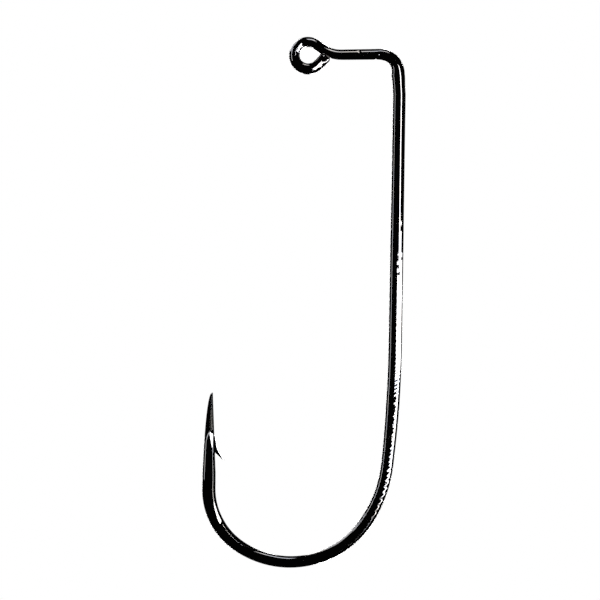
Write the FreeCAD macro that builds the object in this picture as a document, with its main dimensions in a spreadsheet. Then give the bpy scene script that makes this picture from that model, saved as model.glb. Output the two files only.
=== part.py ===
import FreeCAD, Part
import os
from math import cos, radians, sin

import Sketcher

# A 90-degree jig hook: one length of hard steel wire, closed into a ring eye, taken through a short
# round leg and a square elbow, and forged flat on both faces along the shank, the bend and the spear.
# The hook lies in the XZ plane. Its origin is the centre of the eye, +Z runs up the shank, +X runs
# from the eye to the shank, and +Y is the axis of the eye. Every zone of the wire is its own body.
# A body starts at its local origin, heads along its local +Z and bends in its local XZ plane.

SIZES = [
    ("wire", 1.05),            # round wire, diameter
    ("forged_wide", 1.28),     # forged section, across the hook's plane of bending
    ("forged_thick", 0.82),    # forged section, between the two pressed flats
    ("ring_radius", 1.34),     # eye, to the middle of the wire
    ("ring_turn", 261.5),      # eye, how far the ring goes round
    ("ring_start", 54),        # eye, where the neck leaves the ring, up from +X
    ("bore_radius", 0.845),    # eye, the land that the mandrel leaves inside the ring
    ("tail_run", 1.6),         # straight end of the ring, before it is cut off
    ("tail_gap", 0.14),        # between the neck and the line that the ring's end is cut along
    ("tail_tilt", 11),         # of the cut, from the neck's direction
    ("tail_round", 0.12),      # rounding of the cut end's edge
    ("neck_run", 0.67),        # straight wire between the ring and the neck's curve
    ("neck_radius", 3.3),
    ("neck_turn", 36.8),       # leaves the leg rising 0.8 degrees
    ("leg_run", 3.7),
    ("elbow_radius", 2.1),
    ("elbow_turn", 91.7),      # leaves the shank leaning 0.9 degrees
    ("swage_run", 1.2),        # where the round wire becomes the forged section
    ("shank_run", 25.6),       # straight forged shank
    ("sweep_radius", 122),     # the long curve at the shank's foot
    ("sweep_turn", 5.7),
    ("entry_radius", 12.85),   # the bend: three curves of falling radius
    ("entry_turn", 27.5),
    ("heel_radius", 9.12),
    ("heel_turn", 91.5),
    ("exit_radius", 6.83),
    ("exit_turn", 55.4),
    ("spear_run", 1.5),        # the spear, below the point
    ("point_run", 8.04),
    ("point_edge", 0.08),      # the point's needle tip, across
    ("point_inset", 0.41),     # how far the tip stands in from the spear's inner edge
    ("barb_start", 3.9),       # barb, from the foot of the point to where its cut begins
    ("barb_root", 1.97),       # to the root of the notch beneath it
    ("barb_tip", 1.33),        # to its sharp end
    ("barb_lift", 0.88),       # barb, how far its end stands off the inner edge
    ("barb_back", 0.20),       # how far its back stands off, above the notch
    ("barb_thick", 0.5),
]

doc = FreeCAD.newDocument("jig_hook")
sheet = doc.addObject("Spreadsheet::Sheet", "Sizes")
for row, (alias, value) in enumerate(SIZES, start=1):
    sheet.set("A%d" % row, alias)
    sheet.set("B%d" % row, str(value))
    sheet.setAlias("B%d" % row, alias)
doc.recompute()

ORIGIN = (-1, 1)       # a sketch's own origin, as a constraint names it
ACROSS = -1            # a sketch's horizontal axis
CUT_TALL = 4           # the blade that cuts the ring's end, in diameters of the wire
CUT_BROAD = 2
POINT_STEPS = 8        # sections that the point is lofted through
POINT_SPACING = 2      # how they close up towards the tip: 1 would be evenly spaced
POINT_POWER = 0.52     # how full the point is: 1 would be a plain wedge
POINT_FLAT = 0.8       # thickness of the needle, as a part of its width
BARB_SWELL = 2.1       # how far the barb's back stands off beside the notch, in barb backs
BARB_WAIST = 0.34      # how far its underside has come out halfway along, as a part of its lift
BARB_CURL = 0.25       # where its back and underside bend most, from its root towards its end
ON_THE_CUT = 1e-4      # edges this close to the cut's plane lie on it
SPOTS = 5              # places tested along an edge


def size(alias):
    """A driving dimension, read back from the sheet."""
    return float(sheet.get(alias))


def cell(expression):
    """An expression with every alias in it written as a cell of the sheet."""
    words = expression.split(" ")
    known = {alias for alias, value in SIZES}
    return " ".join("Sizes." + word if word in known else word for word in words)


def new_body(node):
    body = doc.addObject("PartDesign::Body", node)
    body.Label = node
    return body


def origin_plane(body, role):
    return next(plane for plane in body.Origin.OriginFeatures if plane.Role == role)


def new_sketch(body, name, role):
    sketch = body.newObject("Sketcher::SketchObject", name)
    sketch.AttachmentSupport = [(origin_plane(body, role), "")]
    sketch.MapMode = "FlatFace"
    return sketch


def bind(sketch, name, kind, refs, value, expression):
    """Adds a driving dimension to a sketch and ties it to the sheet."""
    index = sketch.addConstraint(Sketcher.Constraint(kind, *refs, value))
    sketch.renameConstraint(index, name)
    sketch.setExpression("Constraints." + name, cell(expression))


def spine(body, name, runs):
    """The wire's centre line. It starts at the sketch's origin and heads up the sketch.

    Each run is (length,) for straight wire, or (radius, turn, side) for a curve, with a side of
    +1 to the left and -1 to the right. Lengths, radii and turns are aliases of the sheet."""
    sketch = new_sketch(body, name, "XZ_Plane")
    here = FreeCAD.Vector(0, 0, 0)
    heading = 90.0
    previous = None
    for run in runs:
        ahead = FreeCAD.Vector(cos(radians(heading)), sin(radians(heading)), 0)
        if len(run) == 1:
            there = here + ahead * size(run[0])
            edge = sketch.addGeometry(Part.LineSegment(here, there))
            first, last = 1, 2
            if previous is None:
                sketch.addConstraint(Sketcher.Constraint("Vertical", edge))
            bind(sketch, run[0], "Distance", (edge,), size(run[0]), run[0])
        else:
            radius, turn, side = size(run[0]), size(run[1]), run[2]
            centre = here + FreeCAD.Vector(-ahead.y, ahead.x, 0) * (radius * side)
            circle = Part.Circle(centre, FreeCAD.Vector(0, 0, 1), radius)
            begins = radians(heading - 90 * side)
            ends = begins + radians(turn) * side
            edge = sketch.addGeometry(Part.ArcOfCircle(circle, min(begins, ends), max(begins, ends)))
            first, last = (1, 2) if side > 0 else (2, 1)
            if previous is None:
                sketch.addConstraint(Sketcher.Constraint("PointOnObject", edge, 3, ACROSS))
            bind(sketch, run[0], "Radius", (edge,), radius, run[0])
            bind(sketch, run[1], "Angle", (edge,), radians(turn), run[1])
            there = centre + FreeCAD.Vector(cos(ends), sin(ends), 0) * radius
            heading += turn * side
        if previous is None:
            sketch.addConstraint(Sketcher.Constraint("Coincident", edge, first, *ORIGIN))
        else:
            sketch.addConstraint(Sketcher.Constraint("Tangent", *previous, edge, first))
        previous = (edge, last)
        here = there
    return sketch


def round_section(body, name, centre=None):
    """The round wire's section, on the local XY plane."""
    sketch = new_sketch(body, name, "XY_Plane")
    middle = FreeCAD.Vector(size(centre) if centre else 0, 0, 0)
    circle = Part.Circle(middle, FreeCAD.Vector(0, 0, 1), size("wire") / 2)
    edge = sketch.addGeometry(circle)
    bind(sketch, "across", "Diameter", (edge,), size("wire"), "wire")
    if centre:
        sketch.addConstraint(Sketcher.Constraint("PointOnObject", edge, 3, ACROSS))
        bind(sketch, "offset", "DistanceX", (*ORIGIN, edge, 3), size(centre), centre)
    else:
        sketch.addConstraint(Sketcher.Constraint("Coincident", edge, 3, *ORIGIN))
    return sketch


def flat_section(body, name, wide, thick, shift, values):
    """A forged section: two flats and two round sides, on the local XY plane.

    wide, thick and shift are expressions over the sheet; values are what they come to."""
    sketch = new_sketch(body, name, "XY_Plane")
    wide_now, thick_now, shift_now = values
    half = thick_now / 2
    reach = (wide_now - thick_now) / 2
    up = FreeCAD.Vector(0, 0, 1)
    left, right = shift_now - reach, shift_now + reach
    top = sketch.addGeometry(
        Part.LineSegment(FreeCAD.Vector(left, half, 0), FreeCAD.Vector(right, half, 0)))
    east = sketch.addGeometry(Part.ArcOfCircle(
        Part.Circle(FreeCAD.Vector(right, 0, 0), up, half), radians(-90), radians(90)))
    foot = sketch.addGeometry(
        Part.LineSegment(FreeCAD.Vector(right, -half, 0), FreeCAD.Vector(left, -half, 0)))
    west = sketch.addGeometry(Part.ArcOfCircle(
        Part.Circle(FreeCAD.Vector(left, 0, 0), up, half), radians(90), radians(270)))
    for joint in ((top, 2, east, 2), (east, 1, foot, 1), (foot, 2, west, 2), (west, 1, top, 1)):
        sketch.addConstraint(Sketcher.Constraint("Tangent", *joint))
    sketch.addConstraint(Sketcher.Constraint("PointOnObject", east, 3, ACROSS))
    sketch.addConstraint(Sketcher.Constraint("PointOnObject", west, 3, ACROSS))
    bind(sketch, "side", "Radius", (east,), half, "( %s ) / 2" % thick)
    bind(sketch, "right", "DistanceX", (*ORIGIN, east, 3), right,
         "%s + ( %s - ( %s ) ) / 2" % (shift, wide, thick))
    bind(sketch, "left", "DistanceX", (*ORIGIN, west, 3), left,
         "%s - ( %s - ( %s ) ) / 2" % (shift, wide, thick))
    return sketch


def raise_sketch(sketch, expression):
    """Lifts a section off the local XY plane."""
    sketch.setExpression(".AttachmentOffset.Base.z", cell(expression))


def pipe(body, name, section, path):
    swept = body.newObject("PartDesign::AdditivePipe", name)
    swept.Profile = section
    swept.Spine = (path, [])
    return swept


def loft(body, name, sections):
    lofted = body.newObject("PartDesign::AdditiveLoft", name)
    lofted.Profile = sections[0]
    lofted.Sections = sections[1:]
    lofted.Ruled = True
    return lofted


def pocket_through(body, name, sketch):
    """Cuts a sketch on the local XZ plane right through, to both sides."""
    cut = body.newObject("PartDesign::Pocket", name)
    cut.Profile = sketch
    cut.SideType = "Symmetric"
    cut.Type = "ThroughAll"
    return cut


def make_eye_ring():
    """The ring, from the neck round to its cut end, with the land of its bore."""
    body = new_body("eye_ring")
    section = round_section(body, "ring_section", "ring_radius")
    path = new_sketch(body, "ring_path", "XZ_Plane")
    radius, turn = size("ring_radius"), radians(size("ring_turn"))
    circle = Part.Circle(FreeCAD.Vector(0, 0, 0), FreeCAD.Vector(0, 0, 1), radius)
    arc = path.addGeometry(Part.ArcOfCircle(circle, 0, turn))
    leaves = FreeCAD.Vector(cos(turn), sin(turn), 0) * radius
    ends = leaves + FreeCAD.Vector(-sin(turn), cos(turn), 0) * size("tail_run")
    tail = path.addGeometry(Part.LineSegment(leaves, ends))
    path.addConstraint(Sketcher.Constraint("Coincident", arc, 3, *ORIGIN))
    path.addConstraint(Sketcher.Constraint("PointOnObject", arc, 1, ACROSS))
    path.addConstraint(Sketcher.Constraint("Tangent", arc, 2, tail, 1))
    bind(path, "ring_radius", "Radius", (arc,), radius, "ring_radius")
    bind(path, "ring_turn", "Angle", (arc,), turn, "ring_turn")
    bind(path, "tail_run", "Distance", (tail,), size("tail_run"), "tail_run")
    pipe(body, "ring_wire", section, path)

    # The tail is cut off beside the neck, which leaves the ring along local -Z.
    edge = new_sketch(body, "tail_edge", "XZ_Plane")
    wire = size("wire")
    near = size("ring_radius") - wire / 2 - size("tail_gap")
    slope = radians(size("tail_tilt"))
    top = FreeCAD.Vector(near, -wire / 2, 0)
    foot = top + FreeCAD.Vector(sin(slope), -cos(slope), 0) * (wire * CUT_TALL)
    across = FreeCAD.Vector(wire * CUT_BROAD, 0, 0)
    corners = [top, foot, foot + across, top + across]
    sides = [edge.addGeometry(Part.LineSegment(corners[i], corners[(i + 1) % 4])) for i in range(4)]
    for i in range(4):
        edge.addConstraint(Sketcher.Constraint("Coincident", sides[i], 2, sides[(i + 1) % 4], 1))
    edge.addConstraint(Sketcher.Constraint("Horizontal", sides[1]))
    edge.addConstraint(Sketcher.Constraint("Horizontal", sides[3]))
    edge.addConstraint(Sketcher.Constraint("Parallel", sides[0], sides[2]))
    bind(edge, "near", "DistanceX", (*ORIGIN, sides[0], 1), near, "ring_radius - wire / 2 - tail_gap")
    bind(edge, "top", "DistanceY", (sides[0], 1, *ORIGIN), wire / 2, "wire / 2")
    bind(edge, "tilt", "Angle", (sides[3], 2, sides[0], 1), slope - radians(90), "tail_tilt - 90")
    bind(edge, "tall", "Distance", (sides[0],), wire * CUT_TALL, "wire * %d" % CUT_TALL)
    bind(edge, "broad", "Distance", (sides[1],), wire * CUT_BROAD, "wire * %d" % CUT_BROAD)
    cut = pocket_through(body, "tail_cut", edge)
    doc.recompute()
    middle = FreeCAD.Vector(near, 0, -wire / 2)
    square = FreeCAD.Vector(cos(slope), 0, sin(slope))
    on_cut = [i for i, line in enumerate(cut.Shape.Edges, start=1)
              if all(abs((spot - middle).dot(square)) < ON_THE_CUT for spot in line.discretize(SPOTS))]
    rounded = body.newObject("PartDesign::Fillet", "tail_rounding")
    rounded.Base = (cut, ["Edge%d" % i for i in on_cut])
    rounded.setExpression("Radius", cell("tail_round"))

    land = new_sketch(body, "bore_land", "XZ_Plane")
    bore = size("bore_radius")
    hole = land.addGeometry(Part.Circle(FreeCAD.Vector(0, 0, 0), FreeCAD.Vector(0, 0, 1), bore))
    land.addConstraint(Sketcher.Constraint("Coincident", hole, 3, *ORIGIN))
    bind(land, "bore_radius", "Radius", (hole,), bore, "bore_radius")
    pocket_through(body, "bore", land)
    return body


def make_wire(node, section, runs):
    """A zone of constant section."""
    body = new_body(node)
    profile = section(body, node + "_section")
    pipe(body, node + "_wire", profile, spine(body, node + "_path", runs))
    return body


def forged_section(body, name):
    values = (size("forged_wide"), size("forged_thick"), 0.0)
    return flat_section(body, name, "forged_wide", "forged_thick", "0", values)


def make_shank():
    """The round wire is swaged flat below the elbow, then runs down to the foot of the shank."""
    body = new_body("shank")
    above = round_section(body, "swage_top")
    below = forged_section(body, "swage_foot")
    raise_sketch(below, "swage_run")
    loft(body, "swage", [above, below])
    path = spine(body, "shank_path", [("shank_run",), ("sweep_radius", "sweep_turn", -1)])
    path.setExpression(".AttachmentOffset.Base.y", cell("swage_run"))
    pipe(body, "shank_wire", below, path)
    return body


def make_point():
    """The needle point: its inner edge is straight and its outer edge rounds over to the tip."""
    body = new_body("point")
    sections = []
    for step in range(POINT_STEPS + 1):
        left_over = (1 - step / POINT_STEPS) ** POINT_SPACING
        along = 1 - left_over
        full = left_over ** POINT_POWER
        wide_now = size("point_edge") + (size("forged_wide") - size("point_edge")) * full
        wide = "( point_edge + ( forged_wide - point_edge ) * %r )" % full
        thick_now = min(size("forged_thick"), wide_now * POINT_FLAT)
        thick = "min( forged_thick ; %s * %r )" % (wide, POINT_FLAT)
        shift_now = size("forged_wide") / 2 - size("point_inset") * along - wide_now / 2
        shift = "forged_wide / 2 - point_inset * %r - %s / 2" % (along, wide)
        values = (wide_now, thick_now, shift_now)
        section = flat_section(body, "point_%d" % step, wide, thick, shift, values)
        raise_sketch(section, "point_run * %r" % along)
        sections.append(section)
    loft(body, "needle", sections)
    return body


def make_barb(point):
    """A sliver cut up from the inner edge of the point, its end turned out and back."""
    blank = new_body("barb_blank")
    outline = new_sketch(blank, "barb_outline", "XZ_Plane")
    inner = size("forged_wide") / 2
    fall = size("point_inset") / size("point_run")

    def beside(off, along):
        """A point this far off the inner edge, this far up from the foot of the point."""
        return FreeCAD.Vector(inner - fall * along + off, along, 0)

    start, root, tip = size("barb_start"), size("barb_root"), size("barb_tip")
    lift, back = size("barb_lift"), size("barb_back")
    sunk = -size("forged_thick") / 2
    shoulder = (start + root) / 2
    curl = (root - tip) * BARB_CURL
    end = beside(lift, tip)
    edges = [
        Part.LineSegment(beside(sunk, start), beside(0, start)),
        Part.LineSegment(beside(0, start), beside(back, shoulder)),
        Part.Arc(beside(back, shoulder), beside(back * BARB_SWELL, root + curl), end),
        Part.Arc(end, beside(lift * BARB_WAIST, root - curl), beside(0, root)),
        Part.LineSegment(beside(0, root), beside(sunk, root)),
        Part.LineSegment(beside(sunk, root), beside(sunk, start)),
    ]
    for edge in edges:
        outline.addGeometry(edge)
    pad = blank.newObject("PartDesign::Pad", "barb_pad")
    pad.Profile = outline
    pad.SideType = "Symmetric"
    pad.setExpression("Length", cell("barb_thick"))
    barb = doc.addObject("Part::Cut", "barb")
    barb.Base = blank
    barb.Tool = point
    barb.Label = "barb"
    return barb


class Walk:
    """Follows the wire's centre line through the XZ plane, to place each zone where the last one ends."""

    def __init__(self):
        start = radians(size("ring_start"))
        self.at = FreeCAD.Vector(cos(start), 0, sin(start)) * size("ring_radius")
        self.heading = size("ring_start") - 90

    def placement(self):
        return FreeCAD.Placement(self.at, FreeCAD.Rotation(FreeCAD.Vector(0, 1, 0), 90 - self.heading))

    def straight(self, alias):
        angle = radians(self.heading)
        self.at = self.at + FreeCAD.Vector(cos(angle), 0, sin(angle)) * size(alias)

    def curve(self, radius_alias, turn_alias, side):
        angle = radians(self.heading)
        radius = size(radius_alias)
        centre = self.at + FreeCAD.Vector(-sin(angle), 0, cos(angle)) * (radius * side)
        self.heading += size(turn_alias) * side
        angle = radians(self.heading)
        self.at = centre - FreeCAD.Vector(-sin(angle), 0, cos(angle)) * (radius * side)

    def follow(self, runs):
        for run in runs:
            if len(run) == 1:
                self.straight(*run)
            else:
                self.curve(*run)


eye_ring = make_eye_ring()
eye_ring.Placement = FreeCAD.Placement(
    FreeCAD.Vector(0, 0, 0), FreeCAD.Rotation(FreeCAD.Vector(0, 1, 0), -size("ring_start")))

NECK_AND_LEG = [("neck_run",), ("neck_radius", "neck_turn", +1), ("leg_run",)]
ELBOW = [("elbow_radius", "elbow_turn", -1)]
SHANK = [("swage_run",), ("shank_run",), ("sweep_radius", "sweep_turn", -1)]
BEND = [
    ("entry_radius", "entry_turn", -1),
    ("heel_radius", "heel_turn", -1),
    ("exit_radius", "exit_turn", -1),
]
SPEAR = [("spear_run",)]

walk = Walk()
eye_leg = make_wire("eye_leg", round_section, NECK_AND_LEG)
eye_leg.Placement = walk.placement()
walk.follow(NECK_AND_LEG)
elbow = make_wire("elbow", round_section, ELBOW)
elbow.Placement = walk.placement()
walk.follow(ELBOW)
shank = make_shank()
shank.Placement = walk.placement()
walk.follow(SHANK)
bend = make_wire("bend", forged_section, BEND)
bend.Placement = walk.placement()
walk.follow(BEND)
spear = make_wire("spear", forged_section, SPEAR)
spear.Placement = walk.placement()
walk.follow(SPEAR)
point = make_point()
point.Placement = walk.placement()
barb = make_barb(point)
barb.Base.Placement = walk.placement()
doc.recompute()

nodes = [eye_ring, eye_leg, elbow, shank, bend, spear, point, barb]
for thing in doc.Objects:
    if "Invalid" in thing.State or "Error" in thing.State:
        raise RuntimeError("%s did not build: %s" % (thing.Label, thing.State))
for node in nodes:
    if node.Shape.isNull() or not node.Shape.isValid():
        raise RuntimeError("%s has no sound shape" % node.Label)

os.makedirs("parts", exist_ok=True)
for node in nodes:
    node.Shape.exportStep("parts/%s.step" % node.Label)
    box = node.Shape.BoundBox
    print("%-9s solids %d volume %7.3f  X %.2f..%.2f  Y %.2f..%.2f  Z %.2f..%.2f" % (
        node.Label, len(node.Shape.Solids), node.Shape.Volume,
        box.XMin, box.XMax, box.YMin, box.YMax, box.ZMin, box.ZMax))
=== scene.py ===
from math import cos, pi, radians, sin, tan

import bpy
import numpy as np
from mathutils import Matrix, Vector


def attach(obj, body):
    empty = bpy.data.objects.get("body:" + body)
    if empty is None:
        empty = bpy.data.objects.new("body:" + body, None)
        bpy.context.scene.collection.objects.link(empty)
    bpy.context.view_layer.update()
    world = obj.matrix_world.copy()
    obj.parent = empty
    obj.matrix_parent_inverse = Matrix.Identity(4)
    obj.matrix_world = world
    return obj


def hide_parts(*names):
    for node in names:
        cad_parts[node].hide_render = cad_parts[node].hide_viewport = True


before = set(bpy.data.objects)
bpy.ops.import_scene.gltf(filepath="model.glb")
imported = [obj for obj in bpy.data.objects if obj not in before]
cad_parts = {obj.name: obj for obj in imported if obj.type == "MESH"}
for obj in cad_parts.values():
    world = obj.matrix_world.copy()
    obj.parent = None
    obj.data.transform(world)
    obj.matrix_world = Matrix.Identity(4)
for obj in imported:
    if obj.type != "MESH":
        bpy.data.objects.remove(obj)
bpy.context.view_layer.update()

# A bare 90-degree jig hook: one wire with a ring eye, forged flat along its shank and bend.
# Lengths here are in millimetres until a mesh is made. The hook lies in the XZ plane, with the
# middle of its eye at the origin; headings are in degrees, from +X towards +Z.

MM = 0.001
MIDDLE = Vector((0, 0, -25))        # of the hook
RING_RADIUS = 1.34          # along the middle of the wire
RING_TURN = 261.5
RING_START = 54             # where the neck leaves the ring
BORE_RADIUS = 0.845
TAIL_LENGTH = 1.10          # straight end of the ring, along its middle
TAIL_SLANT = 4              # how far its cut is from square
TAIL_ROUND = 0.3            # rounding of the cut's edge
POINT_LENGTH = 8.04
POINT_POWER = 0.52          # how full the needle is: 1 would be a plain wedge
POINT_EDGE = 0.08           # width of the needle's tip
POINT_INSET = 0.41          # how far the needle's tip stands in from the spear's inner edge
POINT_SLIM = (0.8, 0.95)    # thickness of the needle at its foot and its tip, at most, in widths
FORGED_EDGE = 0.665         # the inner edge at the foot of the point, off the centre line


def bent(radius, turn):
    """A run of wire bent to a radius: its length and its turn, to the left if positive."""
    return radius * abs(radians(turn)), turn


# The wire, from the cut end of its ring to the tip of its point: name, (length, turn).
RUNS = [
    ("tail", (TAIL_LENGTH, 0)),
    ("ring", bent(RING_RADIUS, -RING_TURN)),
    ("neck", (0.67, 0)),
    ("throat", bent(3.3, 36.8)),
    ("leg", (3.7, 0)),
    ("elbow", bent(2.1, -91.7)),
    ("shank", (26.8, 0)),
    ("sweep", bent(122, -5.7)),
    ("entry", bent(12.85, -27.5)),
    ("heel", bent(9.12, -91.5)),
    ("exit", bent(6.83, -55.4)),
    ("spear", (1.5, 0)),
    ("point", (POINT_LENGTH, 0)),
]

# How the section changes along the wire: run, part of the way along it, width in the hook's
# plane, thickness across it.
SECTIONS = [
    ("tail", 0.0, 1.16, 1.02),
    ("ring", 0.1, 1.14, 1.03),
    ("ring", 0.45, 1.14, 1.03),
    ("ring", 0.7, 1.04, 1.03),
    ("ring", 0.9, 1.00, 1.05),
    ("throat", 0.3, 0.98, 1.05),
    ("leg", 0.1, 1.03, 1.05),
    ("elbow", 0.0, 1.06, 1.04),
    ("elbow", 0.55, 1.16, 0.96),
    ("elbow", 1.0, 1.36, 0.88),
    ("shank", 0.04, 1.26, 0.83),
    ("shank", 0.3, 1.27, 0.82),
    ("shank", 0.62, 1.32, 0.82),
    ("sweep", 0.5, 1.35, 0.82),
    ("sweep", 0.9, 1.24, 0.82),
    ("entry", 0.5, 1.22, 0.82),
    ("entry", 0.95, 1.27, 0.82),
    ("heel", 0.5, 1.13, 0.82),
    ("heel", 0.9, 1.20, 0.82),
    ("exit", 0.5, 1.36, 0.82),
    ("spear", 0.5, 1.33, 0.82),
    ("point", 0.0, 1.31, 0.82),
]

# How far the section sits off the centre line at the elbow, towards the inside of the bend.
SHIFTS = [
    ("leg", 0.9, 0),
    ("elbow", 0.5, -0.04),
    ("elbow", 0.95, 0.15),
    ("shank", 0.03, 0.08),
    ("shank", 0.07, 0),
]

# How the inner side of the section stands past its flats, then the outer side: how far, as a share
# of half the thickness, and how it curves, where 2 is round and near 1 is a bevel.
SIDES = [
    ("heel", 0.75, 1.0, 2.0, 1.0, 2.0),
    ("heel", 0.95, 0.8, 1.05, 1.0, 2.0),
    ("exit", 0.9, 0.62, 1.06, 1.0, 2.0),
    ("point", 0.4, 0.5, 1.04, 1.0, 2.0),
    ("point", 0.52, 0.5, 1.04, 1.33, 1.04),
]

# How far the surface turns, in degrees, from the middle of a flat to its edge.
CROWNS = [
    ("elbow", 0.5, 27),
    ("shank", 0.45, 25),
    ("shank", 0.70, 23),
    ("shank", 0.75, 11),
    ("sweep", 0.2, 11),
    ("sweep", 0.45, 19),
    ("entry", 0.0, 20),
    ("heel", 0.3, 16),
    ("exit", 0.3, 11),
    ("exit", 0.8, 14),
    ("spear", 0.0, 5),
    ("point", 0.3, 2),
]

# Small flats that the tools left on the front and the back, in pairs: where each begins and ends,
# how far it leans from the hook's plane, out of the bend if positive, and how far it lies from the
# centre line at its beginning and its end.
FLATS = [
    ("tail", 0.6, "ring", 0.09, 20, 0.495, 0.525),
    ("exit", 0.40, "exit", 1.0, -23, 0.452, 0.560),
    ("point", 0.27, "point", 0.525, -30, 0.545, 0.350),
]
FLAT_FADE = 0.25            # a flat runs out over this length at each end

# The marks that rolling and bending left across the wire: run, part of the way, height of a
# ripple in micrometres, its pitch, and how far it lies off square, as a slope. No two are quite
# alike, because a second ripple of another pitch is added: each has its share of the height.
RIPPLE_SHARES = (0.85, 0.5)
SECOND_RIPPLE = 0.61        # waves of the second ripple to one of the first
SECOND_LEAD = 1             # how far ahead it starts, in radians
RIPPLES = [
    ("neck", 0.0, 0.4, 1.6, 0.0),
    ("elbow", 1.0, 2.0, 2.3, 0.0),
    ("shank", 0.45, 3.0, 1.7, 0.0),
    ("shank", 0.62, 1.3, 1.0, 0.0),
    ("shank", 0.72, 0.9, 0.75, 0.0),
    ("sweep", 0.2, 0.9, 0.4, 0.5),
    ("sweep", 0.5, 3.0, 0.42, 0.8),
    ("sweep", 1.0, 7.0, 0.44, 0.8),
    ("entry", 0.6, 11.0, 0.68, 0.8),
    ("heel", 0.15, 4.0, 0.8, 0.8),
    ("heel", 0.4, 0.8, 1.3, 0.8),
    ("spear", 1.0, 0.5, 1.6, 0.8),
]

# Small dents that the tools left: run, part of the way, how far off the middle of the face, which
# face (1 is the front), radius and depth.
NICKS = [
    ("leg", 0.47, 0.20, 1, 0.12, 0.055),
    ("leg", 0.72, -0.15, 1, 0.05, 0.003),
    ("elbow", 0.05, 0.10, 1, 0.12, 0.060),
    ("tail", 0.00, 0.20, 1, 0.36, 0.160),
    ("tail", 0.65, 0.44, 1, 0.15, 0.090),
    ("ring", 0.03, 0.42, 1, 0.13, 0.070),
    ("ring", 0.57, -0.32, 1, 0.14, 0.050),
    ("ring", 0.74, -0.30, 1, 0.15, 0.090),
    ("ring", 0.62, 0.10, -1, 0.09, 0.012),
    ("leg", 0.3, -0.12, -1, 0.10, 0.014),
    ("elbow", 0.5, 0.20, -1, 0.14, 0.020),
    ("shank", 0.22, 0.12, -1, 0.10, 0.008),
    ("shank", 0.58, -0.20, -1, 0.12, 0.009),
    ("heel", 0.55, 0.15, -1, 0.12, 0.010),
]

# The barb, in the needle's own directions: how far off the inner edge and how far up from the foot
# of the point, along its back and along its underside, and its thickness.
BARB = [
    ((-0.02, 3.80), (-0.20, 3.60), 0.36),
    ((0.05, 3.70), (-0.10, 3.40), 0.38),
    ((0.12, 3.40), (-0.10, 2.90), 0.42),
    ((0.18, 3.05), (-0.12, 2.30), 0.46),
    ((0.21, 2.72), (-0.06, 2.04), 0.47),
    ((0.29, 2.42), (0.12, 1.97), 0.47),
    ((0.44, 2.08), (0.32, 1.79), 0.46),
    ((0.60, 1.80), (0.50, 1.62), 0.45),
    ((0.75, 1.54), (0.68, 1.44), 0.44),
    ((0.88, 1.33), (0.865, 1.32), 0.43),
]
BARB_ROWS = 60              # rings along the barb
BARB_AROUND = 28            # points round each
BARB_BACK = 10              # how square its section is, from back to underside: 2 would be round
BARB_FACE = 14              # and from face to face

FINE = 0.02                 # step of the centre line
BLEND = 0.7                 # length over which one bend runs into the next
SIDE_STEPS = 20             # points round each side of the section
ACROSS = [1, 0.96, 0.7, 0.35, 0, -0.35, -0.7, -0.96]      # places across a flat
RING_STEP = 0.085           # between the rings of the mesh, and closer in some runs
CLOSE_STEPS = {"tail": 0.07, "ring": 0.07, "neck": 0.08, "throat": 0.08, "elbow": 0.07,
               "sweep": 0.065, "entry": 0.065, "point": 0.06}
CAP_STEPS = 5               # rings that round a cut end over
CAP_SHARES = (0.72, 0.45, 0.2)      # rings that run in across its face

# Noise in the metal: waves to a millimetre each way, how many finer layers it has, and how rough
# they are. Lines and waves run along the wire and round it, and the others straight through it.
DRIFT = ((0.35, 0.35, 0.35), 2)         # of the tint
SMUDGES = ((1.3, 1.3, 1.3), 6)
PATCHES = ((0.6, 0.6, 0.6), 2)          # that have pores
HIGH_SPOTS = ((2.2, 2.2, 2.2), 8, 0.7)  # where the plating rubs
LINES = ((0.3, 42, 1), 3)               # drawn along the wire
WAVES = ((0.8, 2.5, 1), 1)
PORE_CELLS = 4                          # to a millimetre, each with one pore
PORE_RIM = (0.10, 0.05)                 # where a pore begins and where it is full, in cells

# Of each kind of noise, from which value it shows and from which it shows in full.
DRIFT_SHOWS = (0.35, 0.65)
SMUDGE_SHOWS = (0.5, 0.75)
PATCH_SHOWS = (0.5, 0.6)
HIGH_SPOT_SHOWS = (0.68, 0.76)
LINE_SHOWS = (0.4, 0.6)
SCRATCH_SHOWS = (0.66, 0.72)            # a scratch is the top of a drawn line

# Colours of the metal: the plating, a warmer patch of it, where it has rubbed thin, and in a pore.
PLATING = (0.052, 0.054, 0.060, 1)
WARM_PLATING = (0.070, 0.066, 0.062, 1)
RUBBED = (0.24, 0.235, 0.225, 1)
PORE = (0.02, 0.018, 0.016, 1)
RUBBED_SHARE = 0.5          # how much of each colour shows
PORE_SHARE = 0.8
DULL = (0.03, 0.075)        # roughness, from clean to smudged
DULL_SCRATCH = 0.05         # what each kind of wear adds to it
DULL_RUB = 0.10
DULL_PORE = 0.3
LINE_HEIGHT = 6e-8          # relief of the drawn lines, in metres
WAVE_HEIGHT = 1.5e-6        # and of the slow waves in the wire

# The soft lights: name, azimuth, elevation, distance, width, height and glow. The angles are in
# degrees as the hook sees them, azimuth 0 being the camera's side and 90 the hook's right.
CARDS = [
    ("main", 39, -16.5, 102, 43, 20, 34),
    ("step", 28.5, 5.4, 90, 21, 3.4, 34),
    ("side", 48.5, -2.6, 90, 79, 13, 34),
    ("strip", 16.4, 5, 290, 3.6, 18, 34),
    ("top", 19.7, 62, 400, 24, 18, 11),
    ("left", -62, 13, 450, 8, 40, 13),
    ("left_back", -116, 43, 333, 63, 35, 6),
    ("low", 18, -25, 212, 10, 8, 5),
    ("back", 172, -4, 300, 6, 60, 20),
    ("back_left", -171, 4, 300, 5, 50, 14),
]
AIR = 0.012                 # glow of all round them

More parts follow.
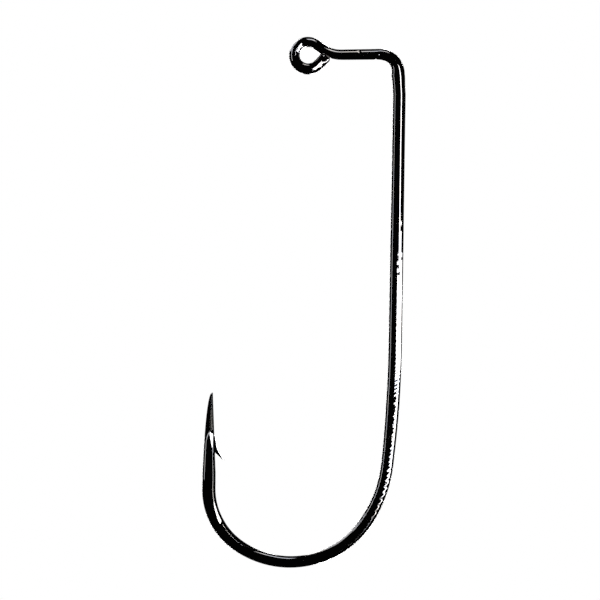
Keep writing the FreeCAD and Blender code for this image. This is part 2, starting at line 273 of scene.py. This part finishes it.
CAMERA_MIDDLE = Vector((-0.8, 0, -24.48))       # what the camera looks at
CAMERA_AWAY = 166.7
CAMERA_LENS = 100           # focal length
CAMERA_SENSOR = 36          # width of its sensor
CAMERA_CLIP = (0.01, 10)    # what it sees, in metres
ROOM = 1.0                  # half the width of the room, in metres, and how high it goes
FLOOR = -0.078              # height of its floor
PALE, WHITE = 0.80, 1       # how the room glows, a painted fall-off of light: all round, and behind the hook
FADE = (-0.06, 0.045)       # where one runs into the other, behind the hook, in metres
FADE_SPREAD = -1.2          # and how fast that moves back to the sides


def run_starts():
    """Where each run begins, along the wire."""
    starts, so_far = {}, 0.0
    for name, (length, turn) in RUNS:
        starts[name] = so_far
        so_far += length
    return starts, so_far


STARTS, WIRE_LENGTH = run_starts()
LENGTHS = {name: length for name, (length, turn) in RUNS}


def along(name, part):
    """How far along the wire a place in a run is."""
    return STARTS[name] + LENGTHS[name] * part


def eased(values, width):
    """A running mean along the fine steps, over a length of wire."""
    count = int(round(width / FINE)) | 1
    padded = np.pad(values, count // 2, mode="edge")
    return np.convolve(padded, np.ones(count) / count, mode="valid")


def centre_line():
    """Place and heading at each fine step. Bends run into each other over a short length."""
    steps = np.arange(0, WIRE_LENGTH + FINE, FINE)
    curvature = np.zeros(len(steps))
    for name, (length, turn) in RUNS:
        inside = (steps >= STARTS[name]) & (steps < STARTS[name] + length)
        curvature[inside] = radians(turn) / length
    curvature = eased(curvature, BLEND)
    middle = int(along("ring", 0.5) / FINE)
    heading = np.cumsum(curvature) * FINE
    heading += radians(RING_START - 90 + RING_TURN / 2) - heading[middle]
    path = np.stack([np.cumsum(np.cos(heading)), np.cumsum(np.sin(heading))], axis=1) * FINE
    to_centre = np.array([sin(heading[middle]), -cos(heading[middle])]) * RING_RADIUS
    path -= path[middle] + to_centre
    return steps, path, heading


def keyed(rows, column, steps):
    """A value that changes along the wire, eased between the places where it is given."""
    at = [along(row[0], row[1]) for row in rows]
    return np.interp(steps, at, [row[column] for row in rows])


def section_sizes(steps):
    """Width and thickness at each fine step, and how far the section sits off the centre line."""
    wide = eased(keyed(SECTIONS, 2, steps), BLEND)
    thick = eased(keyed(SECTIONS, 3, steps), BLEND)
    shift = keyed(SHIFTS, 2, steps)
    needle = np.clip((steps - STARTS["point"]) / POINT_LENGTH, 0, 1)
    full = (1 - needle) ** POINT_POWER
    inner = wide / 2 - POINT_INSET * needle
    wide = POINT_EDGE + (wide - POINT_EDGE) * full
    slim = POINT_SLIM[0] + (POINT_SLIM[1] - POINT_SLIM[0]) * needle
    thick = np.where(needle > 0, np.minimum(thick, wide * slim), thick)
    shift = np.where(needle > 0, inner - wide / 2, shift)
    return wide, thick, shift


def section_angles(crown):
    """Around the section: the direction that the surface faces, and -1 to 1 across each flat."""
    side = np.linspace(-1, 1, SIDE_STEPS, endpoint=False) * (90 - crown)
    across = np.array(ACROSS)
    flat = 90 - crown * across
    angle = np.concatenate([side, flat, side + 180, flat + 180], axis=1)
    spread = np.concatenate([np.ones(SIDE_STEPS), across, -np.ones(SIDE_STEPS), -across])
    return np.radians(angle), spread


def stations():
    """Where the mesh has its rings: close in the small bends and along the needle."""
    places = []
    for name, (length, turn) in RUNS:
        count = int(round(length / CLOSE_STEPS.get(name, RING_STEP)))
        places.append(along(name, np.arange(count) / count))
    return np.concatenate(places + [[WIRE_LENGTH]])


def rounded(values, corners):
    """A cosine or a sine, pushed out towards a square section."""
    return np.sign(values) * np.abs(values) ** (2 / corners)


def hook_frame():
    """The centre line and the section's sizes at every ring of the mesh."""
    steps, path, heading = centre_line()
    wide, thick, shift = section_sizes(steps)
    phase = np.cumsum(2 * pi / keyed(RIPPLES, 3, steps)) * FINE
    rings = stations()
    columns = {"x": path[:, 0], "z": path[:, 1], "heading": heading, "wide": wide, "thick": thick,
               "shift": shift, "phase": phase, "crown": keyed(CROWNS, 2, steps),
               "inner_stand": keyed(SIDES, 2, steps), "inner_curve": keyed(SIDES, 3, steps),
               "outer_stand": keyed(SIDES, 4, steps), "outer_curve": keyed(SIDES, 5, steps),
               "height": keyed(RIPPLES, 2, steps) / 1000, "pitch": keyed(RIPPLES, 3, steps),
               "slant": keyed(RIPPLES, 4, steps)}
    at = {name: np.interp(rings, steps, values)[:, None] for name, values in columns.items()}
    return rings, at


def wire_rings():
    """Every ring of the wire's mesh, as an array of rings by points by XYZ, in millimetres."""
    rings, at = hook_frame()
    angle, spread = section_angles(at["crown"])
    half_thick = at["thick"] / 2
    inner = np.cos(angle) < 0
    stand = half_thick * np.where(inner, at["inner_stand"], at["outer_stand"])
    curve = np.where(inner, at["inner_curve"], at["outer_curve"])
    outer_edge = at["wide"] / 2 - half_thick * at["outer_stand"]
    inner_edge = half_thick * at["inner_stand"] - at["wide"] / 2
    flat = inner_edge + (outer_edge - inner_edge) * (spread + 1) / 2
    out = flat + stand * rounded(np.cos(angle), curve)
    deep = half_thick * rounded(np.sin(angle), curve)
    slanted = at["phase"] + 2 * pi / at["pitch"] * at["slant"] * out
    first, second = RIPPLE_SHARES
    uneven = np.sin(slanted) * first + np.sin(slanted * SECOND_RIPPLE + SECOND_LEAD) * second
    ripple = at["height"] * uneven * np.abs(np.sin(angle))
    out = out + ripple * np.cos(angle)
    deep = deep + ripple * np.sin(angle)
    deep = nicked(rings[:, None], out, deep)
    off, deep = flattened(rings[:, None], out - at["shift"], deep)
    ahead = tail_slant(rings, out)
    turn = at["heading"]
    x = at["x"] - np.sin(turn) * off + np.cos(turn) * ahead
    z = at["z"] + np.cos(turn) * off + np.sin(turn) * ahead
    spots = np.stack([x, -deep, z], axis=-1)
    return spots, rings


def nicked(along_wire, off, deep):
    """The section's depth, less the small dents."""
    for name, part, middle, face, radius, depth in NICKS:
        away = np.hypot(along_wire - along(name, part), off - middle) / radius
        deep = deep - face * depth * np.exp(-away ** 2) * (deep * face > 0)
    return deep


def flattened(along_wire, off, deep):
    """The section's points, cut back to the small flats."""
    for first, first_part, last, last_part, lean, start, end in FLATS:
        begins, ends = along(first, first_part), along(last, last_part)
        inside = np.clip(np.minimum(along_wire - begins, ends - along_wire) / FLAT_FADE, 0, 1)
        share = np.clip((along_wire - begins) / (ends - begins), 0, 1)
        sideways, outwards = sin(radians(abs(lean))), cos(radians(lean))
        stands = off * np.sign(lean) * sideways + np.abs(deep) * outwards
        beyond = stands - (start + (end - start) * share)
        beyond = np.maximum(beyond, 0) * inside * (off * np.sign(lean) > 0)
        off = off - beyond * sideways * np.sign(lean)
        deep = deep - beyond * outwards * np.sign(deep)
    return off, deep


def tail_slant(rings, out):
    """The ring's end is cut on a slant, beside the neck, and each ring of the tail leans with it."""
    left = np.clip(1 - rings / TAIL_LENGTH, 0, 1)[:, None]
    return left * out * tan(radians(TAIL_SLANT))


def bore_land(spots):
    """The mandrel leaves a flat land inside the ring."""
    away = np.hypot(spots[..., 0], spots[..., 2])
    grow = np.maximum(away, BORE_RADIUS) / away
    return spots * np.stack([grow, np.ones_like(grow), grow], axis=-1)


def needle_frame():
    """The foot of the point, the direction it runs and the direction of its inner edge."""
    steps, path, heading = centre_line()
    at = int(STARTS["point"] / FINE)
    up = np.array([cos(heading[at]), 0, sin(heading[at])])
    inner = np.array([sin(heading[at]), 0, -cos(heading[at])])
    return np.array([path[at][0], 0, path[at][1]]), up, inner


def grid_faces(count, around):
    """Quads between rings that each have the same number of points."""
    ring, i = np.meshgrid(np.arange(count - 1), np.arange(around), indexing="ij")
    j = (i + 1) % around
    this, following = ring * around, (ring + 1) * around
    quads = np.stack([this + i, this + j, following + j, following + i], axis=-1)
    return quads.reshape(-1, 4).tolist()


def end_cap(ring, ahead, radius):
    """Rings that round a cut end over and run in across its face."""
    middle = ring.mean(axis=0)
    size = np.linalg.norm(ring - middle, axis=-1).mean()
    rings = []
    for step in range(1, CAP_STEPS + 1):
        turn = pi / 2 * step / CAP_STEPS
        shrink = 1 - radius * (1 - cos(turn)) / size
        rings.append(middle + (ring - middle) * shrink + ahead * radius * sin(turn))
    face = rings[-1]
    middle = face.mean(axis=0)
    for share in CAP_SHARES:
        rings.append(middle + (face - middle) * share)
    return rings


def closed_mesh(name, rings):
    """A closed tube through rings of equal count, each end closed by a fan."""
    rings = np.array(rings)
    count, around = rings.shape[:2]
    verts = np.concatenate([rings.reshape(-1, 3), [rings[0].mean(axis=0)], [rings[-1].mean(axis=0)]])
    faces = grid_faces(count, around)
    first, last = count * around, count * around + 1
    top = (count - 1) * around
    for i in range(around):
        j = (i + 1) % around
        faces.append((first, j, i))
        faces.append((last, top + i, top + j))
    mesh = bpy.data.meshes.new(name)
    mesh.from_pydata((verts * MM).tolist(), [], faces)
    mesh.shade_smooth()
    unroll(mesh, rings)
    return mesh


def unroll(mesh, rings):
    """Surface coordinates in millimetres: along the tube and around it."""
    count, around = rings.shape[:2]
    steps = np.linalg.norm(np.diff(rings.mean(axis=1), axis=0), axis=-1)
    far = np.concatenate([[0], np.cumsum(steps)])
    girth = np.linalg.norm(rings - np.roll(rings, 1, axis=1), axis=-1).sum(axis=1).max()
    ring, i = np.meshgrid(np.arange(count - 1), np.arange(around), indexing="ij")
    corners = [np.stack([far[ring + next_ring], (i + next_point) * girth / around], axis=-1)
               for next_ring, next_point in ((0, 0), (0, 1), (1, 1), (1, 0))]
    quads = np.stack(corners, axis=2).reshape(-1, 2)
    fans = np.zeros((around, 2, 3, 2))      # a first and a last triangle for each point
    fans[:, 1, :, 0] = far[-1]
    fans[..., 1] = (np.arange(around) * girth / around)[:, None, None]
    spots = np.concatenate([quads, fans.reshape(-1, 2)])
    layer = mesh.uv_layers.new(name="along_around")
    layer.data.foreach_set("uv", spots.ravel())


def hook_mesh():
    """The whole wire, with a rounded cut end on its ring."""
    spots, rings = wire_rings()
    ring_end = int(np.searchsorted(rings, STARTS["leg"]))
    spots[:ring_end] = bore_land(spots[:ring_end])
    start = spots[0].mean(axis=0) - spots[1].mean(axis=0)
    ahead = start / np.linalg.norm(start)
    cap = end_cap(spots[0], ahead, TAIL_ROUND)
    return closed_mesh("hook_wire", list(reversed(cap)) + list(spots))


def smooth_rows(rows, count):
    """Points along a smooth curve through rows of numbers, by Catmull-Rom."""
    rows = np.array(rows)
    padded = np.concatenate([[2 * rows[0] - rows[1]], rows, [2 * rows[-1] - rows[-2]]])
    out = []
    for place in np.linspace(0, len(rows) - 1, count):
        i = min(int(place), len(rows) - 2)
        part = place - i
        a, b, c, d = padded[i:i + 4]
        out.append(0.5 * (2 * b + (c - a) * part + (2 * a - 5 * b + 4 * c - d) * part ** 2
                          + (3 * b - a - 3 * c + d) * part ** 3))
    return np.array(out)


def barb_mesh():
    """A sliver cut up from the needle's inner edge, its end turned out and back."""
    foot, up, inner = needle_frame()

    def beside(off, along_needle):
        """A point this far off the needle's inner edge, this far up from its foot."""
        edge = FORGED_EDGE - POINT_INSET * along_needle / POINT_LENGTH
        return foot + inner * (edge + off) + up * along_needle

    turn = np.linspace(0, 2 * pi, BARB_AROUND, endpoint=False)[:, None]
    rings = []
    rows = smooth_rows([(*back, *under, thick) for back, under, thick in BARB], BARB_ROWS)
    for back_off, back_up, under_off, under_up, thick in rows:
        back, under = beside(back_off, back_up), beside(under_off, under_up)
        middle, half = (back + under) / 2, (back - under) / 2
        side = rounded(np.sin(turn), BARB_FACE) * thick / 2
        rings.append(middle + half * rounded(np.cos(turn), BARB_BACK) + side * np.array([0, -1, 0]))
    return closed_mesh("barb_sliver", rings)


def add(name, mesh, material, nodes):
    """A piece of the hook, and the CAD nodes that it stands for."""
    piece = bpy.data.objects.new(name, mesh)
    mesh.materials.append(material)
    bpy.context.scene.collection.objects.link(piece)
    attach(piece, "root")
    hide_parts(*nodes)


class Weave:
    """The nodes of one material, and the ways that they are joined."""

    def __init__(self, name):
        self.material = bpy.data.materials.new(name)
        self.material.use_nodes = True
        self.nodes = self.material.node_tree.nodes
        self.shader = self.nodes["Principled BSDF"]

    def plug(self, socket, value):
        """A number, a colour or another node's output, put into a socket."""
        if isinstance(value, bpy.types.NodeSocket):
            self.material.node_tree.links.new(value, socket)
        else:
            socket.default_value = value

    def maths(self, operation, *values):
        node = self.nodes.new("ShaderNodeMath")
        node.operation = operation
        for socket, value in zip(node.inputs, values):
            self.plug(socket, value)
        return node.outputs[0]

    def mixed(self, share, low, high):
        """A colour between two colours."""
        mix = self.nodes.new("ShaderNodeMix")
        mix.data_type = "RGBA"
        for name, value in (("Factor", share), ("A", low), ("B", high)):
            self.plug(next(s for s in mix.inputs if s.name == name and s.enabled), value)
        return next(s for s in mix.outputs if s.type == "RGBA")

    def ranged(self, value, low, high, to_low=0, to_high=1, smooth=False):
        """A value moved from one range to another, and kept inside it."""
        node = self.nodes.new("ShaderNodeMapRange")
        node.interpolation_type = "SMOOTHSTEP" if smooth else "LINEAR"
        for socket, number in zip(node.inputs, (value, low, high, to_low, to_high)):
            self.plug(socket, number)
        return node.outputs[0]

    def scaled(self, coordinates, scale):
        node = self.nodes.new("ShaderNodeMapping")
        self.plug(node.inputs["Scale"], scale)
        self.plug(node.inputs["Vector"], coordinates)
        return node.outputs["Vector"]

    def cloud(self, coordinates, scale, detail, roughness=0.55):
        """Soft noise, with so many waves to a millimetre in each direction."""
        node = self.nodes.new("ShaderNodeTexNoise")
        self.plug(node.inputs["Scale"], 1)
        self.plug(node.inputs["Detail"], detail)
        self.plug(node.inputs["Roughness"], roughness)
        self.plug(node.inputs["Vector"], self.scaled(coordinates, scale))
        return node.outputs["Fac"]

    def bump(self, height, distance, normal=None):
        """Relief of a height, on top of any relief that is there already."""
        node = self.nodes.new("ShaderNodeBump")
        self.plug(node.inputs["Strength"], 1)
        self.plug(node.inputs["Distance"], distance)
        self.plug(node.inputs["Height"], height)
        if normal:
            self.plug(node.inputs["Normal"], normal)
        return node.outputs["Normal"]


def black_nickel():
    """Polished black nickel over drawn steel wire: fine lines along the wire, dull smudges, pores,
    a slight drift of tint, and bright rubbed spots."""
    metal = Weave("black_nickel")
    place = metal.nodes.new("ShaderNodeTexCoord")
    across = place.outputs["UV"]
    solid = metal.scaled(place.outputs["Object"], (1 / MM,) * 3)

    drift = metal.ranged(metal.cloud(solid, *DRIFT), *DRIFT_SHOWS)
    smudge = metal.ranged(metal.cloud(solid, *SMUDGES), *SMUDGE_SHOWS)
    lines = metal.cloud(across, *LINES)
    scratch = metal.ranged(lines, *SCRATCH_SHOWS)

    cells = metal.nodes.new("ShaderNodeTexVoronoi")
    metal.plug(cells.inputs["Scale"], PORE_CELLS)
    metal.plug(cells.inputs["Vector"], solid)
    patchy = metal.ranged(metal.cloud(solid, *PATCHES), *PATCH_SHOWS)
    pore = metal.maths("MULTIPLY", metal.ranged(cells.outputs["Distance"], *PORE_RIM), patchy)

    high_spots = metal.ranged(metal.cloud(solid, *HIGH_SPOTS), *HIGH_SPOT_SHOWS)
    rub = metal.maths("MULTIPLY", high_spots, metal.ranged(lines, *LINE_SHOWS))

    plating = metal.mixed(drift, PLATING, WARM_PLATING)
    worn = metal.mixed(metal.maths("MULTIPLY", rub, RUBBED_SHARE), plating, RUBBED)
    colour = metal.mixed(metal.maths("MULTIPLY", pore, PORE_SHARE), worn, PORE)
    metal.plug(metal.shader.inputs["Base Color"], colour)

    dull = metal.ranged(smudge, 0, 1, *DULL)
    for wear, share in ((scratch, DULL_SCRATCH), (rub, DULL_RUB), (pore, DULL_PORE)):
        dull = metal.maths("ADD", dull, metal.maths("MULTIPLY", wear, share))
    metal.plug(metal.shader.inputs["Roughness"], dull)
    metal.plug(metal.shader.inputs["Metallic"], 1)

    drawn = metal.bump(lines, LINE_HEIGHT)
    wavy = metal.bump(metal.cloud(across, *WAVES), WAVE_HEIGHT, drawn)
    metal.plug(metal.shader.inputs["Normal"], wavy)
    return metal.material


def card(name, azimuth, elevation, away, wide, tall, glow):
    """A soft light: a flat card that faces the hook, and that the camera doesn't see."""
    side, up = radians(azimuth), radians(elevation)
    towards = Vector((sin(side) * cos(up), -cos(side) * cos(up), sin(up)))
    light = bpy.data.lights.new(name, "AREA")
    light.shape = "RECTANGLE"
    light.size = 2 * away * tan(radians(wide) / 2) * MM
    light.size_y = 2 * away * tan(radians(tall) / 2) * MM
    light.energy = glow * pi * light.size * light.size_y
    lamp = bpy.data.objects.new(name, light)
    lamp.location = (MIDDLE + towards * away) * MM
    lamp.rotation_mode = "QUATERNION"
    lamp.rotation_quaternion = (-towards).to_track_quat("-Z", "Y")
    lamp.visible_camera = False
    bpy.context.scene.collection.objects.link(lamp)


def paper():
    """Painted light: the paper glows white behind the hook, fading to a dimmer pale grey glow on the
    floor and the walls round the room, a painted fall-off of light.
    """
    sheet = Weave("paper")
    place = sheet.nodes.new("ShaderNodeTexCoord")
    parts = sheet.nodes.new("ShaderNodeSeparateXYZ")
    sheet.plug(parts.inputs[0], place.outputs["Object"])
    sideways = sheet.maths("ABSOLUTE", parts.outputs["X"])
    behind = sheet.maths("MULTIPLY_ADD", sideways, FADE_SPREAD, parts.outputs["Y"])
    # Painted light: the glow fades from white behind the hook to pale grey round the room.
    glow = sheet.ranged(behind, *FADE, PALE, WHITE, smooth=True)
    inputs = sheet.shader.inputs
    sheet.plug(inputs["Base Color"], (0, 0, 0, 1))
    sheet.plug(inputs["Roughness"], 1)
    sheet.plug(inputs["Specular IOR Level"], 0)
    sheet.plug(inputs["Emission Color"], (1, 1, 1, 1))
    sheet.plug(inputs["Emission Strength"], glow)
    return sheet.material


def studio():
    """A room of glowing paper round the hook, which neither lights it nor shows in it."""
    scene = bpy.context.scene
    world = bpy.data.worlds.new("studio")
    world.use_nodes = True
    world.node_tree.nodes["Background"].inputs["Color"].default_value = (AIR, AIR, AIR, 1)
    scene.world = world
    scene.view_settings.view_transform = "Standard"
    mesh = bpy.data.meshes.new("floor")
    square = [(-ROOM, -ROOM), (ROOM, -ROOM), (ROOM, ROOM), (-ROOM, ROOM)]
    corners = [(x, y, z) for z in (FLOOR, ROOM) for x, y in square]
    walls = [(0, 4, 5, 1), (1, 5, 6, 2), (2, 6, 7, 3), (3, 7, 4, 0)]
    mesh.from_pydata(corners, [], [(0, 1, 2, 3), *walls, (7, 6, 5, 4)])
    mesh.materials.append(paper())
    floor = bpy.data.objects.new("floor", mesh)
    scene.collection.objects.link(floor)
    floor.visible_glossy = False
    floor.visible_diffuse = False
    floor.visible_shadow = False


def camera():
    """Level with the middle of the hook, square on to its plane."""
    cam = bpy.data.cameras.new("camera")
    cam.lens = CAMERA_LENS
    cam.sensor_width = CAMERA_SENSOR
    cam.clip_start, cam.clip_end = CAMERA_CLIP
    holder = bpy.data.objects.new("camera", cam)
    holder.location = (CAMERA_MIDDLE + Vector((0, -CAMERA_AWAY, 0))) * MM
    holder.rotation_mode = "QUATERNION"
    holder.rotation_quaternion = Vector((0, 1, 0)).to_track_quat("-Z", "Y")
    bpy.context.scene.collection.objects.link(holder)
    bpy.context.scene.camera = holder


metal = black_nickel()
add("hook_wire", hook_mesh(), metal,
    ["eye_ring", "eye_leg", "elbow", "shank", "bend", "spear", "point"])
add("barb_sliver", barb_mesh(), metal, ["barb"])
studio()
camera()
for row in CARDS:
    card(*row)
